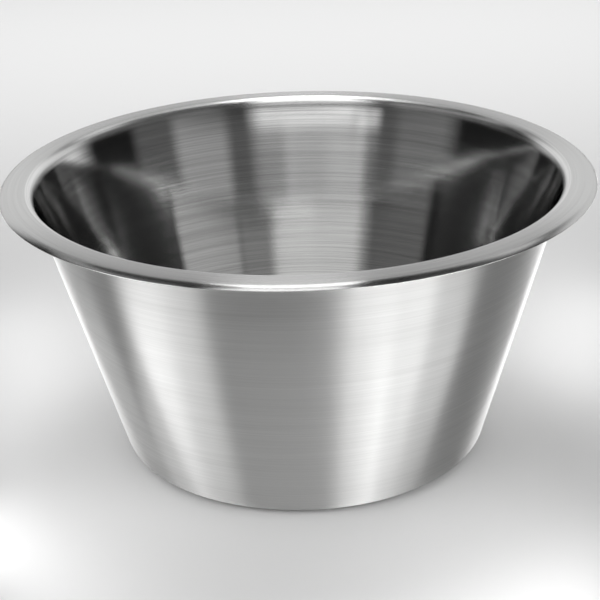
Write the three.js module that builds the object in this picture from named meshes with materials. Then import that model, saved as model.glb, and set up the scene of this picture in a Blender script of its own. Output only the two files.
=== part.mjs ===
// Conical mixing bowl, drawn from one disc of stainless sheet: flat base, rounded base corner,
// straight tapering wall, flat rim flange and a lip that rolls down at the flange's outer edge.
// Millimetres, +Z up. The origin is on the bowl's axis, on the surface that it stands on.

import * as THREE from 'three';

// Driving dimensions
const mouthDiameter = 240; // inside, where the wall's face and the flange's face would meet
const rimDiameter = 268; // over the lip
const bowlHeight = 130; // from the standing surface to the top of the flange
const baseDiameter = 164; // outside, where the wall's face and the underside would meet
const sheetThickness = 0.8;
const baseCornerRadius = 11; // outside face, from base to wall
const throatRadius = 4; // inside face, from wall to flange
const lipRadius = 4.2; // top face, from flange to lip
const lipTurn = THREE.MathUtils.degToRad(57); // how far the lip turns down from the flange

// Fineness of the round stretches
const segmentsAround = 96;
const stepsPerBend = 4;

// Lean of the wall from the vertical: its outer face starts at the base diameter, and its
// inner face, one sheet thickness away, ends at the mouth diameter.
const wallSpread = (mouthDiameter - baseDiameter) / 2;
const wallLean = Math.atan2(wallSpread, bowlHeight)
  + Math.asin(sheetThickness / Math.hypot(wallSpread, bowlHeight));

// A bend between the wall and a level face ends this far from their meeting point, per unit of radius.
const bendSetback = Math.tan((Math.PI / 2 - wallLean) / 2);

// Centres of the three bends, as radius and height
const baseBend = new THREE.Vector2(baseDiameter / 2 - baseCornerRadius * bendSetback, baseCornerRadius);
const throatBend = new THREE.Vector2(mouthDiameter / 2 + throatRadius * bendSetback, bowlHeight - throatRadius);
const lipReach = lipRadius * Math.sin(Math.min(lipTurn, Math.PI / 2));
const lipBend = new THREE.Vector2(rimDiameter / 2 - lipReach, bowlHeight - lipRadius);

// Directions from a bend's centre to its ends, as angles from the outward radius
const DOWN = -Math.PI / 2;
const UP = Math.PI / 2;
const wallOutside = -wallLean;
const wallInside = Math.PI - wallLean;
const lipEnd = UP - lipTurn;

// Half section of the sheet: along the under and outer face from the axis to the lip's cut edge,
// then back along the top and inner face. Both faces bend about the same centres.
function sheetSection() {
  const section = new THREE.Path();
  section.moveTo(0, 0);
  section.lineTo(baseBend.x, 0);
  section.absarc(baseBend.x, baseBend.y, baseCornerRadius, DOWN, wallOutside, false);
  section.absarc(throatBend.x, throatBend.y, throatRadius - sheetThickness, wallInside, UP, true);
  section.absarc(lipBend.x, lipBend.y, lipRadius - sheetThickness, UP, lipEnd, true);
  section.absarc(lipBend.x, lipBend.y, lipRadius, lipEnd, UP, false);
  section.absarc(throatBend.x, throatBend.y, throatRadius, UP, wallInside, false);
  section.absarc(baseBend.x, baseBend.y, baseCornerRadius - sheetThickness, wallOutside, DOWN, true);
  section.lineTo(0, sheetThickness);
  return section;
}

function bowlShell() {
  // A path gives an arc twice as many steps as it is asked for.
  const outline = sheetSection().getPoints(stepsPerBend / 2);
  const geometry = new THREE.LatheGeometry(outline, segmentsAround);
  geometry.rotateX(Math.PI / 2);

  const steel = new THREE.MeshStandardMaterial({ color: 0xb9b9b7, metalness: 1, roughness: 0.35 });
  const shell = new THREE.Mesh(geometry, steel);
  shell.name = 'bowl_shell';
  return shell;
}

const bowl = new THREE.Group();
bowl.add(bowlShell());

export default bowl;
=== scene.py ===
"""Conical mixing bowl of brushed stainless sheet, standing on a pale studio floor."""

import math

import bpy
from bpy.props import FloatProperty, FloatVectorProperty, IntProperty, PointerProperty
from mathutils import Matrix, Vector


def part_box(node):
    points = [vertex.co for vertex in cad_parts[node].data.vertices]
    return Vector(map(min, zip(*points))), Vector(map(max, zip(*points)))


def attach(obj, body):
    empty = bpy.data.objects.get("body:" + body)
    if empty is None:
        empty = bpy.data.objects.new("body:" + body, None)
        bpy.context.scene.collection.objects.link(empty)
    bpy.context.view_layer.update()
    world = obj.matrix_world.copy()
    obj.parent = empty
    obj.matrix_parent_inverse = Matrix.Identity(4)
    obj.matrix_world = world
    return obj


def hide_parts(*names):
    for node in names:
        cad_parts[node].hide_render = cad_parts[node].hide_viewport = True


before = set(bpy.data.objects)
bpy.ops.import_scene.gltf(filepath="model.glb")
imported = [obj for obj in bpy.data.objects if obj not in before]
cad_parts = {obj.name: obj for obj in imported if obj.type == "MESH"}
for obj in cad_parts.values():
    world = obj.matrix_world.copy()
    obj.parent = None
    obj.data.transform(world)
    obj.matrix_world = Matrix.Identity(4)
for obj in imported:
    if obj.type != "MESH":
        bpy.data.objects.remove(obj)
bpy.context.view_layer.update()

bl_info = {
    "name": "Conical Mixing Bowl",
    "version": (1, 0, 0),
    "blender": (4, 5, 0),
    "location": "View3D > Sidebar > Mixing Bowl",
    "description": "Models a conical mixing bowl of brushed stainless sheet and the studio that it stands in",
    "category": "Object",
}

SHELL_NODE = "bowl_shell"
SHELL_PIECE = "brushed_bowl"

# The rim and the height come from the frame, so that the visual model keeps the solid's box.
shell_low, shell_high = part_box(SHELL_NODE)
FRAME_RIM_DIAMETER = shell_high.x - shell_low.x
FRAME_HEIGHT = shell_high.z - shell_low.z

# Directions about a bend's centre, as angles from the outward radius
UP = math.pi / 2
DOWN = -math.pi / 2

# Sides of the picture
LEFT, RIGHT = -1, 1

# Rings across the wall below its flare and across the underside, as distances along the sheet
FLARE_STEPS = 8
WALL_RINGS = (0.030, 0.045, 0.065, 0.085, 0.105)
WALL_FOOT_RING = 0.001
UNDERSIDE_RINGS = (0.001, 0.020, 0.040, -0.012)

# How far the brush lines swing the steel's colour, and how deep they are
OUTSIDE_CONTRAST, OUTSIDE_DEPTH = 0.06, 0.00002
INSIDE_CONTRAST, INSIDE_DEPTH = 0.17, 0.00001
RIM_CONTRAST, RIM_DEPTH = 0.06, 0.00001

# Where the inside turns satin below the flange, and where the flange starts, in throat radii
SATIN_FROM, SATIN_TO = 1.4, 0.6
FLANGE_FROM = 0.6

# Picture edge beside the bowl, the room that the lamps leave to it, and the point in the middle
HALF_FRAME = 0.138
FRAME_MARGIN = 0.028
LOOKED_AT = Vector((-0.00065, 0, 0.0681))
SENSOR_WIDTH = 36
FLOOR_SIZE = 16


class BowlSizes(bpy.types.PropertyGroup):
    """Sizes of the sheet that the bowl is drawn from."""

    rim_diameter: FloatProperty(
        name="Rim Diameter", description="Over the lip",
        default=FRAME_RIM_DIAMETER, unit="LENGTH")
    height: FloatProperty(
        name="Height", description="From the standing surface to the top of the flange",
        default=FRAME_HEIGHT, unit="LENGTH")
    mouth_diameter: FloatProperty(
        name="Mouth Diameter", description="Inside, where the wall's face and the flange's face would meet",
        default=0.240, unit="LENGTH")
    base_diameter: FloatProperty(
        name="Base Diameter", description="Outside, where the wall's face and the underside would meet",
        default=0.164, unit="LENGTH")
    sheet: FloatProperty(
        name="Sheet Thickness", description="Thickness of the steel sheet",
        default=0.0008, unit="LENGTH", precision=5)
    base_corner: FloatProperty(
        name="Base Corner Radius", description="Outside face, from base to wall",
        default=0.011, unit="LENGTH")
    throat: FloatProperty(
        name="Throat Radius", description="Inside face, from wall to flange",
        default=0.004, unit="LENGTH")
    flare_turn: FloatProperty(
        name="Flare Turn", description="How far the wall turns outwards under the throat",
        default=math.radians(2.5), subtype="ANGLE")
    flare_length: FloatProperty(
        name="Flare Length", description="Stretch of the wall under the throat that turns outwards",
        default=0.016, unit="LENGTH")
    flange_fall: FloatProperty(
        name="Flange Fall", description="How far the flange leans outwards where it meets the lip",
        default=math.radians(5), subtype="ANGLE")
    lip: FloatProperty(
        name="Lip Radius", description="Top face, from flange to lip",
        default=0.0042, unit="LENGTH", precision=5)
    lip_turn: FloatProperty(
        name="Lip Turn", description="How far the lip turns down from the flange",
        default=math.radians(57), subtype="ANGLE")
    edge_break: FloatProperty(
        name="Edge Break", description="Rounding of the lip's cut edge",
        default=0.0002, unit="LENGTH", precision=5)
    segments: IntProperty(
        name="Segments", description="Faces around the bowl",
        default=288, min=48, max=512)


class SteelFinish(bpy.types.PropertyGroup):
    """How the steel looks and how it was brushed."""

    colour: FloatVectorProperty(
        name="Steel Colour", description="Colour of the bare steel",
        default=(0.62, 0.62, 0.615), subtype="COLOR", min=0, max=1)
    # Painted light: the inside steel is given a lighter colour than the same steel outside, which stands in
    # for more light on the inside; only its lower roughness is a real difference of finish.
    inside_painted_light_colour: FloatVectorProperty(
        name="Inside Colour With Painted Light", description="Colour of the steel inside, painted lighter than the same steel outside to stand in for more light",
        default=(0.80, 0.80, 0.795), subtype="COLOR", min=0, max=1)
    outside_roughness: FloatProperty(
        name="Outside Roughness", description="Roughness of the brushed outside",
        default=0.52, subtype="FACTOR", min=0, max=1)
    inside_roughness: FloatProperty(
        name="Inside Roughness", description="Roughness of the inside, which is closer to polished",
        default=0.075, subtype="FACTOR", min=0, max=1)
    throat_roughness: FloatProperty(
        name="Throat Roughness", description="Roughness of the bend from the inside to the flange",
        default=0.26, subtype="FACTOR", min=0, max=1)
    rim_roughness: FloatProperty(
        name="Rim Roughness", description="Roughness of the flange and the lip",
        default=0.23, subtype="FACTOR", min=0, max=1)
    brush_line: FloatProperty(
        name="Brush Line", description="Usual width of a brush line outside",
        default=0.0008, unit="LENGTH", precision=5)
    inside_line: FloatProperty(
        name="Inside Line", description="Usual width of a brush line inside",
        default=0.0010, unit="LENGTH", precision=5)
    brush_stroke: FloatProperty(
        name="Brush Stroke", description="Usual length of a brush line around the bowl",
        default=0.10, unit="LENGTH")


class StudioSettings(bpy.types.PropertyGroup):
    """The floor, the lamps and the camera."""

    floor_colour: FloatVectorProperty(
        name="Floor Colour", description="Colour of the plain floor",
        default=(0.80, 0.80, 0.80), subtype="COLOR", min=0, max=1)
    back_level: FloatProperty(
        name="Back Level", description="Brightness of the pale panels behind the bowl",
        default=1.0, min=0)
    side_level: FloatProperty(
        name="Side Level", description="Brightness of the grey panels at the sides and in front",
        default=1.0, min=0)
    front_level: FloatProperty(
        name="Front Level", description="Brightness of the dim room between the panels",
        default=0.01, min=0)
    camera_elevation: FloatProperty(
        name="Camera Elevation", description="Height of the camera as an angle above the floor",
        default=0.3972, subtype="ANGLE")
    camera_roll: FloatProperty(
        name="Camera Roll", description="Turn of the camera about its line of sight",
        default=-0.0309, subtype="ANGLE")
    camera_distance: FloatProperty(
        name="Camera Distance", description="From the camera to the point that it looks at",
        default=0.8756, unit="LENGTH")
    lens: FloatProperty(
        name="Lens", description="Focal length for a sensor 36 mm wide",
        default=113.34, unit="CAMERA")


# Modelling the shell

def bend(centre, radius, start, end, steps):
    """Rings along a bend about a centre: the radius and height of each."""
    angles = [start + (end - start) * step / steps for step in range(steps + 1)]
    return [centre + radius * Vector((math.cos(angle), math.sin(angle))) for angle in angles]


def straight(start, end, places):
    """Rings along a straight stretch, at distances from its start or, if negative, from its end."""
    way = end - start
    length = way.length
    return [start + way * ((place if place > 0 else length + place) / length) for place in places]


def flared_wall(top, foot, sizes):
    """Rings along the wall, which sags towards the axis so that it meets the throat with a slight flare."""
    length = (foot - top).length
    inwards = Vector((top.y - foot.y, foot.x - top.x)).normalized() * -1
    flare = sizes.flare_length
    deepest = sizes.flare_turn * flare / 2
    rings = []
    places = [flare * step / FLARE_STEPS for step in range(1, FLARE_STEPS + 1)]
    places += [*WALL_RINGS, length - WALL_FOOT_RING]
    for place in places:
        if place < flare:
            sag = sizes.flare_turn * place * (1 - place / (2 * flare))
        else:
            sag = deepest * (length - place) / (length - flare)
        rings.append(top + (foot - top) * (place / length) + inwards * sag)
    return rings


def sheet_rings(sizes):
    """Radius and height of rings along the sheet's under and outer face, from the lip to the base."""
    spread = (sizes.mouth_diameter - sizes.base_diameter) / 2
    lean = math.atan2(spread, sizes.height) + math.asin(sizes.sheet / math.hypot(spread, sizes.height))
    setback = math.tan((math.pi / 2 - lean) / 2)
    base_bend = Vector((sizes.base_diameter / 2 - sizes.base_corner * setback, sizes.base_corner))
    throat_bend = Vector((sizes.mouth_diameter / 2 + sizes.throat * setback, sizes.height - sizes.throat))
    lip_reach = sizes.lip * math.sin(sizes.lip_turn)
    fall = sizes.flange_fall
    lip_bend_radius = sizes.rim_diameter / 2 - lip_reach
    crown = (lip_bend_radius - throat_bend.x) / math.sin(fall) + sizes.lip
    crown_bend = Vector((throat_bend.x, sizes.height - crown))
    lip_bend = crown_bend + (crown - sizes.lip) * Vector((math.sin(fall), math.cos(fall)))

    lip = bend(lip_bend, sizes.lip - sizes.sheet, UP - sizes.lip_turn, UP - fall, 8)
    flange = bend(crown_bend, crown - sizes.sheet, UP - fall, UP, 5)[1:-1]
    throat = bend(throat_bend, sizes.throat - sizes.sheet, UP, math.pi - lean - sizes.flare_turn, 8)
    corner = bend(base_bend, sizes.base_corner, -lean, DOWN, 14)
    centre = Vector((0, 0))
    wall = flared_wall(throat[-1], corner[0], sizes)
    underside = straight(corner[-1], centre, UNDERSIDE_RINGS)
    return lip + flange + throat + wall + corner + underside


def model_sheet(sizes):
    """Extrudes a ring from the lip's cut edge along the sheet's outer face to the middle of the base."""
    rings = sheet_rings(sizes)
    bpy.ops.object.select_all(action="DESELECT")
    bpy.ops.mesh.primitive_circle_add(
        vertices=sizes.segments, radius=rings[0].x, fill_type="NOTHING", location=(0, 0, rings[0].y))
    shell = bpy.context.object
    shell.name = SHELL_PIECE
    shell.data.name = SHELL_PIECE
    bpy.ops.object.transform_apply(location=True, rotation=False, scale=False)
    bpy.ops.object.mode_set(mode="EDIT")
    bpy.ops.mesh.select_all(action="SELECT")
    for ring, following in zip(rings, rings[1:]):
        drop = (0, 0, following.y - ring.y)
        factor = following.x / ring.x
        bpy.ops.mesh.extrude_region_move(TRANSFORM_OT_translate={"value": drop})
        bpy.ops.transform.resize(value=(factor, factor, 1), center_override=(0, 0, following.y))
    bpy.ops.mesh.merge(type="CENTER")
    bpy.ops.mesh.select_all(action="SELECT")
    bpy.ops.mesh.normals_make_consistent(inside=False)
    bpy.ops.object.mode_set(mode="OBJECT")
    lowest = min(shell.data.polygons, key=lambda face: face.center.z)
    if lowest.normal.z > 0:
        # An open bowl has no outside of its own, so its sheet can come out facing inwards.
        bpy.ops.object.mode_set(mode="EDIT")
        bpy.ops.mesh.flip_normals()
        bpy.ops.object.mode_set(mode="OBJECT")
    return shell


def thicken_sheet(shell, sizes):
    """Gives the sheet its thickness inwards and rounds the lip's cut edge."""
    solidify = shell.modifiers.new("sheet thickness", "SOLIDIFY")
    solidify.thickness = sizes.sheet
    solidify.offset = -1
    solidify.use_even_offset = True
    bpy.ops.object.modifier_apply(modifier=solidify.name)
    bevel = shell.modifiers.new("edge break", "BEVEL")
    bevel.width = sizes.edge_break
    bevel.segments = 3
    bevel.limit_method = "ANGLE"
    bevel.angle_limit = math.radians(60)
    bpy.ops.object.modifier_apply(modifier=bevel.name)
    bpy.ops.object.shade_smooth_by_angle(angle=math.radians(35))


def give_finish(shell, material, belongs):
    """Adds a material to the shell and puts it on the faces that belong to it."""
    bpy.ops.object.material_slot_add()
    shell.active_material_index = len(shell.material_slots) - 1
    shell.material_slots[-1].material = material
    bpy.ops.object.mode_set(mode="EDIT")
    bpy.ops.mesh.select_mode(type="FACE")
    bpy.ops.mesh.select_all(action="DESELECT")
    bpy.ops.object.mode_set(mode="OBJECT")
    for face in shell.data.polygons:
        face.select = belongs(face)
    bpy.ops.object.mode_set(mode="EDIT")
    bpy.ops.object.material_slot_assign()
    bpy.ops.object.mode_set(mode="OBJECT")


# Materials

def new_material(name):
    """An empty node material, with its nodes and links."""
    material = bpy.data.materials.new(name)
    material.use_nodes = True
    material.node_tree.nodes.clear()
    return material, material.node_tree.nodes, material.node_tree.links


def add_math(nodes, links, operation, *values):
    """A Math node whose inputs are sockets or numbers; returns its output."""
    node = nodes.new("ShaderNodeMath")
    node.operation = operation
    for socket, value in zip(node.inputs, values):
        if isinstance(value, bpy.types.NodeSocket):
            links.new(value, socket)
        else:
            socket.default_value = value
    return node.outputs[0]


def ring_noise(nodes, links, width, stroke, detail):
    """Noise drawn out into rings about the bowl's axis: lines of that width, broken up along their stroke."""
    place = nodes.new("ShaderNodeTexCoord").outputs["Object"]
    split = nodes.new("ShaderNodeSeparateXYZ")
    links.new(place, split.inputs[0])
    flat = nodes.new("ShaderNodeVectorMath")
    flat.operation = "MULTIPLY"
    flat.inputs[1].default_value = (1, 1, 0)
    links.new(place, flat.inputs[0])
    radius = nodes.new("ShaderNodeVectorMath")
    radius.operation = "LENGTH"
    links.new(flat.outputs[0], radius.inputs[0])
    # Radius plus height grows steadily along the section on base, wall and flange alike.
    along_section = add_math(nodes, links, "ADD", radius.outputs["Value"], split.outputs["Z"])
    stretched = nodes.new("ShaderNodeCombineXYZ")
    links.new(add_math(nodes, links, "DIVIDE", split.outputs["X"], stroke), stretched.inputs["X"])
    links.new(add_math(nodes, links, "DIVIDE", split.outputs["Y"], stroke), stretched.inputs["Y"])
    links.new(add_math(nodes, links, "DIVIDE", along_section, width), stretched.inputs["Z"])
    noise = nodes.new("ShaderNodeTexNoise")
    noise.inputs["Scale"].default_value = 1
    noise.inputs["Detail"].default_value = detail
    noise.inputs["Roughness"].default_value = 0.6
    links.new(stretched.outputs[0], noise.inputs["Vector"])
    return noise.outputs["Fac"]


def rise_with_height(nodes, links, low, high, start, end):
    """A value that goes smoothly from start to end between two heights."""
    split = nodes.new("ShaderNodeSeparateXYZ")
    links.new(nodes.new("ShaderNodeTexCoord").outputs["Object"], split.inputs[0])
    ramp = nodes.new("ShaderNodeMapRange")
    ramp.interpolation_type = "SMOOTHSTEP"
    ramp.inputs["From Min"].default_value = low
    ramp.inputs["From Max"].default_value = high
    ramp.inputs["To Min"].default_value = start
    ramp.inputs["To Max"].default_value = end
    links.new(split.outputs["Z"], ramp.inputs["Value"])
    return ramp.outputs[0]


def steel_material(name, finish, base, roughness, line, contrast, depth):
    """Steel brushed in rings of a usual line width, whose colour and height swing by contrast and depth."""
    material, nodes, links = new_material(name)
    shader = nodes.new("ShaderNodeBsdfPrincipled")
    shader.inputs["Metallic"].default_value = 1
    shader.inputs["Anisotropic"].default_value = 1
    shader.inputs["Anisotropic Rotation"].default_value = 0.25
    tangent = nodes.new("ShaderNodeTangent")
    tangent.direction_type = "RADIAL"
    tangent.axis = "Z"
    links.new(tangent.outputs[0], shader.inputs["Tangent"])

    lines = ring_noise(nodes, links, line, finish.brush_stroke, 3)
    bands = ring_noise(nodes, links, line * 6, finish.brush_stroke * 4, 2)
    mixed = add_math(nodes, links, "MULTIPLY_ADD", lines, 0.7, add_math(nodes, links, "MULTIPLY", bands, 0.3))
    spread = nodes.new("ShaderNodeMapRange")
    spread.inputs["From Min"].default_value = 0.34
    spread.inputs["From Max"].default_value = 0.66
    links.new(mixed, spread.inputs["Value"])
    swing = spread.outputs[0]

    colour = nodes.new("ShaderNodeMix")
    colour.data_type = "RGBA"
    dark, light = colour.inputs[6], colour.inputs[7]
    dark.default_value = (*((1 - contrast) * channel for channel in base), 1)
    light.default_value = (*((1 + contrast) * channel for channel in base), 1)
    links.new(swing, colour.inputs[0])
    links.new(colour.outputs[2], shader.inputs["Base Color"])

    shader.inputs["Roughness"].default_value = roughness

    bump = nodes.new("ShaderNodeBump")
    bump.inputs["Strength"].default_value = 1
    bump.inputs["Distance"].default_value = depth
    links.new(mixed, bump.inputs["Height"])
    links.new(bump.outputs[0], shader.inputs["Normal"])

    output = nodes.new("ShaderNodeOutputMaterial")
    links.new(shader.outputs[0], output.inputs["Surface"])
    return material


def floor_material(colour):
    """Plain matt floor."""
    material, nodes, links = new_material("pale floor")
    shader = nodes.new("ShaderNodeBsdfDiffuse")
    shader.inputs["Color"].default_value = (*colour, 1)
    output = nodes.new("ShaderNodeOutputMaterial")
    links.new(shader.outputs[0], output.inputs["Surface"])
    return material


# Studio

def add_floor(studio):
    """A plain floor that reaches past the edges of every view."""
    bpy.ops.object.select_all(action="DESELECT")
    bpy.ops.mesh.primitive_plane_add(size=FLOOR_SIZE, location=(0, 0, 0))
    floor = bpy.context.object
    floor.name = "studio_floor"
    floor.data.materials.append(floor_material(studio.floor_colour))


def soft_panel(nodes, links, azimuth, half_width, edge, rise, fall, level):
    """A panel of the room with soft edges, in degrees; azimuth 0 is the camera's side, positive to its right.

    The panel fades in over the elevations of rise, out over those of fall, and sideways over its edge.
    """
    direction = nodes.new("ShaderNodeTexCoord").outputs["Generated"]
    around = math.radians(azimuth)

    def part_along(axis):
        """How far the direction points along an axis."""
        node = nodes.new("ShaderNodeVectorMath")
        node.operation = "DOT_PRODUCT"
        node.inputs[1].default_value = axis
        links.new(direction, node.inputs[0])
        return node.outputs["Value"]

    def fade(value, places, start, end):
        """A value that goes smoothly from start to end between two angles."""
        node = nodes.new("ShaderNodeMapRange")
        node.interpolation_type = "SMOOTHSTEP"
        node.inputs["From Min"].default_value = math.radians(places[0])
        node.inputs["From Max"].default_value = math.radians(places[1])
        node.inputs["To Min"].default_value = start
        node.inputs["To Max"].default_value = end
        links.new(value, node.inputs["Value"])
        return node.outputs[0]

    ahead = part_along((math.sin(around), -math.cos(around), 0))
    aside = part_along((math.cos(around), math.sin(around), 0))
    turned = add_math(nodes, links, "ABSOLUTE", add_math(nodes, links, "ARCTAN2", aside, ahead))
    width = fade(turned, (half_width - edge, half_width + edge), 1, 0)
    elevation = add_math(nodes, links, "ARCSINE", part_along((0, 0, 1)))
    height = add_math(nodes, links, "MULTIPLY", fade(elevation, rise, 0, 1), fade(elevation, fall, 1, 0))
    shape = add_math(nodes, links, "MULTIPLY", width, height)
    return add_math(nodes, links, "MULTIPLY", shape, level)


def add_world(studio):
    """A dim room with soft panels: pale behind the bowl, grey ones and bright bands on the camera's side."""
    world = bpy.data.worlds.new("studio room")
    world.use_nodes = True
    nodes, links = world.node_tree.nodes, world.node_tree.links
    background = nodes["Background"]
    background.inputs["Color"].default_value = (1, 1, 1, 1)
    back, side = studio.back_level, studio.side_level

    def panel(*shape_and_level):
        """One soft panel of this room."""
        return soft_panel(nodes, links, *shape_and_level)

    panels = [
        # The backdrop behind the bowl and a higher panel above it
        panel(170, 58, 10, (-17, 7), (22, 40), 0.8 * back),
        panel(158, 47, 12, (35, 42), (46, 60), 0.77 * back),
        # High panels at the sides
        panel(-138, 22, 6, (34, 38), (45, 48), 0.30 * side),
        panel(-82, 33, 5, (26, 31), (42, 47), 0.48 * side),
        panel(75, 33, 6, (24, 31), (42, 48), 0.14 * side),
        # Low panels in front, which the inside mirrors as upright stripes
        panel(0, 80, 4, (2, 6), (17, 23), 0.09 * side),
        panel(-14, 19, 4, (6, 10), (13, 21), 0.26 * side),
        panel(-24, 9, 6, (6, 10), (13, 21), 0.10 * side),
        panel(12, 9, 4, (6, 10), (13, 21), 0.11 * side),
        panel(46, 13, 4, (4, 8), (13, 21), 0.23 * side),
        panel(-62, 13, 4, (2, 6), (13, 21), 0.07 * side),
        # Bright bands above them, which the flared top of the wall mirrors
        panel(-5, 25, 6, (15, 21), (19.5, 21.5), 1.55 * side),
        panel(-35, 5, 3, (14, 18), (18, 19.5), 0.9 * side),
        # High panel in front, which the front lip mirrors
        panel(-9, 33, 5, (38, 44), (68, 78), 2.1 * side),
    ]
    total = studio.front_level
    for level in panels:
        total = add_math(nodes, links, "ADD", level, total)
    links.new(total, background.inputs["Strength"])
    bpy.context.scene.world = world


def add_lamp(name, width, height, brightness, place, facing):
    """A soft panel of light that faces a direction, unseen by the camera; a brightness of 1 is white."""
    bpy.ops.object.light_add(type="AREA")
    lamp = bpy.context.object
    lamp.name = name
    lamp.data.name = name
    lamp.data.shape = "RECTANGLE"
    lamp.data.size = width
    lamp.data.size_y = height
    lamp.data.energy = math.pi * width * height * brightness
    lamp.visible_camera = False
    behind = -Vector(facing).normalized()
    side = Vector((0, 0, 1)).cross(behind).normalized()
    rise = behind.cross(side)
    turn = Matrix((side, rise, behind)).transposed().to_4x4()
    lamp.matrix_world = Matrix.Translation(place) @ turn


def edge_panel(name, studio, side, depths, heights, brightness):
    """A panel that stands upright along the picture's left or right edge, just out of sight."""
    reach = studio.camera_distance * math.cos(studio.camera_elevation)

    def edge(depth):
        """A point on the floor just outside the picture, at a depth behind the bowl's axis."""
        return Vector((side * (HALF_FRAME * (reach + depth) / reach + FRAME_MARGIN), depth, 0))

    start, end = edge(depths[0]), edge(depths[1])
    bottom, top = heights
    along = end - start
    facing = Vector((-side * along.y, side * along.x, 0))
    middle = (start + end) / 2 + Vector((0, 0, (bottom + top) / 2))
    add_lamp(name, along.length, top - bottom, brightness, middle, facing)


def room_panel(name, azimuth, elevation, width, height, distance, brightness):
    """A panel in the room that faces the bowl; azimuth 0 is the camera's side, positive to its right."""
    around, rise = math.radians(azimuth), math.radians(elevation)
    away = Vector((
        math.cos(rise) * math.sin(around),
        -math.cos(rise) * math.cos(around),
        math.sin(rise)))
    bowl_middle = Vector((0, 0, FRAME_HEIGHT / 2))
    add_lamp(name, width, height, brightness, bowl_middle + distance * away, -away)


def floor_wash(name, depth, height, width, length, brightness):
    """A wide lamp above the floor behind the bowl, which shines down in a narrow beam."""
    add_lamp(name, width, length, brightness, Vector((0, depth, height)), Vector((0, -0.001, -1)))
    bpy.context.object.data.spread = math.radians(70)


def add_lamps(studio):
    """Panels at the left and right edges of the picture, a softbox overhead and a wash on the floor."""
    edge_panel("left_panel_front", studio, LEFT, (-0.205, -0.09), (0.04, 0.10), 3.5)
    edge_panel("left_panel_low", studio, LEFT, (-0.13, -0.06), (0.010, 0.04), 2.6)
    edge_panel("left_panel_middle", studio, LEFT, (-0.05, 0.02), (0.02, 0.10), 0.8)
    edge_panel("left_panel_back", studio, LEFT, (0.02, 0.16), (0.04, 0.10), 3.0)
    edge_panel("right_panel_low", studio, RIGHT, (-0.38, -0.21), (0.002, 0.04), 13.5)
    edge_panel("right_panel_front", studio, RIGHT, (-0.225, -0.15), (0.04, 0.10), 6.2)
    edge_panel("right_panel_side", studio, RIGHT, (-0.15, -0.10), (0.04, 0.10), 2.8)
    edge_panel("right_panel_middle", studio, RIGHT, (-0.10, 0.02), (0.02, 0.10), 0.1)
    edge_panel("right_panel_back", studio, RIGHT, (0.02, 0.16), (0.04, 0.10), 3.8)
    room_panel(
        "top_softbox", azimuth=-175, elevation=76, width=0.68, height=1.0, distance=2.0, brightness=3.4)
    floor_wash("back_floor_wash", depth=0.75, height=0.9, width=1.4, length=0.8, brightness=0.6)


def add_camera(studio):
    """The camera at the photograph's angle."""
    elevation, roll = studio.camera_elevation, studio.camera_roll
    forward = Vector((0, math.cos(elevation), -math.sin(elevation)))
    level_up = Vector((0, math.sin(elevation), math.cos(elevation)))
    level_right = Vector((1, 0, 0))
    right = level_right * math.cos(roll) + level_up * math.sin(roll)
    up = level_up * math.cos(roll) - level_right * math.sin(roll)
    turn = Matrix((right, up, -forward)).transposed().to_4x4()
    bpy.ops.object.camera_add()
    camera = bpy.context.object
    camera.name = "studio_camera"
    camera.matrix_world = Matrix.Translation(LOOKED_AT - forward * studio.camera_distance) @ turn
    camera.data.lens = studio.lens
    camera.data.sensor_width = SENSOR_WIDTH
    camera.data.clip_start = 0.01
    bpy.context.scene.camera = camera


# Operators

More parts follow.
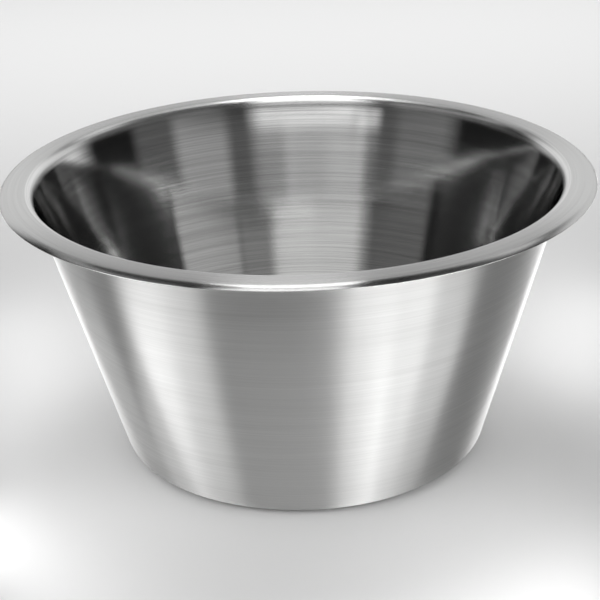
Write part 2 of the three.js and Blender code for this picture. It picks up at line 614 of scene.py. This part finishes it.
class MIXINGBOWL_OT_add_shell(bpy.types.Operator):
    """Model the bowl's shell from one drawn sheet and give it its brushed finishes"""

    bl_idname = "mixing_bowl.add_shell"
    bl_label = "Add Bowl Shell"

    def execute(self, context):
        sizes = context.scene.bowl_sizes
        finish = context.scene.steel_finish
        shell = model_sheet(sizes)
        thicken_sheet(shell, sizes)
        flange_foot = sizes.height - sizes.throat
        flange_start = sizes.mouth_diameter / 2 + sizes.throat * FLANGE_FROM

        def on_rim(face):
            """Whether a face is on the flange or the lip."""
            return face.center.z > flange_foot and face.center.xy.length > flange_start

        def on_inside(face):
            """Whether a face looks into the bowl."""
            inward = face.normal.xy.dot(face.center.xy) < 0
            upward = face.normal.z > 0.2
            return (inward or upward) and not on_rim(face)

        outside = steel_material(
            "outside brushed steel", finish, finish.colour, finish.outside_roughness,
            finish.brush_line, OUTSIDE_CONTRAST, OUTSIDE_DEPTH)
        # The inside's lighter steel colour is painted light, in place of more light inside the bowl.
        inside = steel_material(
            "inside satin steel with painted light", finish, finish.inside_painted_light_colour, finish.inside_roughness,
            finish.inside_line, INSIDE_CONTRAST, INSIDE_DEPTH)
        tree = inside.node_tree
        throat_roughness = rise_with_height(
            tree.nodes, tree.links,
            sizes.height - SATIN_FROM * sizes.throat, sizes.height - SATIN_TO * sizes.throat,
            finish.inside_roughness, finish.throat_roughness)
        tree.links.new(throat_roughness, tree.nodes["Principled BSDF"].inputs["Roughness"])
        rim = steel_material(
            "rim brushed steel", finish, finish.colour, finish.rim_roughness,
            finish.brush_line, RIM_CONTRAST, RIM_DEPTH)
        give_finish(shell, outside, lambda face: True)
        give_finish(shell, inside, on_inside)
        give_finish(shell, rim, on_rim)
        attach(shell, "root")
        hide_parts(SHELL_NODE)
        return {"FINISHED"}


class MIXINGBOWL_OT_add_studio(bpy.types.Operator):
    """Add the floor, the room, the lamps and the camera"""

    bl_idname = "mixing_bowl.add_studio"
    bl_label = "Add Studio"

    def execute(self, context):
        studio = context.scene.bowl_studio
        context.scene.view_settings.view_transform = "Standard"
        add_floor(studio)
        add_world(studio)
        add_lamps(studio)
        add_camera(studio)
        return {"FINISHED"}


class MIXINGBOWL_PT_sidebar(bpy.types.Panel):
    """Lists the bowl's pieces and its studio"""

    bl_idname = "MIXINGBOWL_PT_sidebar"
    bl_label = "Mixing Bowl"
    bl_space_type = "VIEW_3D"
    bl_region_type = "UI"
    bl_category = "Mixing Bowl"

    def draw(self, context):
        column = self.layout.column()
        for operator in (MIXINGBOWL_OT_add_shell, MIXINGBOWL_OT_add_studio):
            column.operator(operator.bl_idname)


CLASSES = (
    BowlSizes,
    SteelFinish,
    StudioSettings,
    MIXINGBOWL_OT_add_shell,
    MIXINGBOWL_OT_add_studio,
    MIXINGBOWL_PT_sidebar,
)


def register():
    """Registers the classes and their settings."""
    for kind in CLASSES:
        bpy.utils.register_class(kind)
    bpy.types.Scene.bowl_sizes = PointerProperty(type=BowlSizes)
    bpy.types.Scene.steel_finish = PointerProperty(type=SteelFinish)
    bpy.types.Scene.bowl_studio = PointerProperty(type=StudioSettings)


def unregister():
    """Removes what register added."""
    del bpy.types.Scene.bowl_studio
    del bpy.types.Scene.steel_finish
    del bpy.types.Scene.bowl_sizes
    for kind in reversed(CLASSES):
        bpy.utils.unregister_class(kind)


def main():
    register()
    bpy.ops.mixing_bowl.add_shell()
    bpy.ops.mixing_bowl.add_studio()


if __name__ == "__main__":
    main()
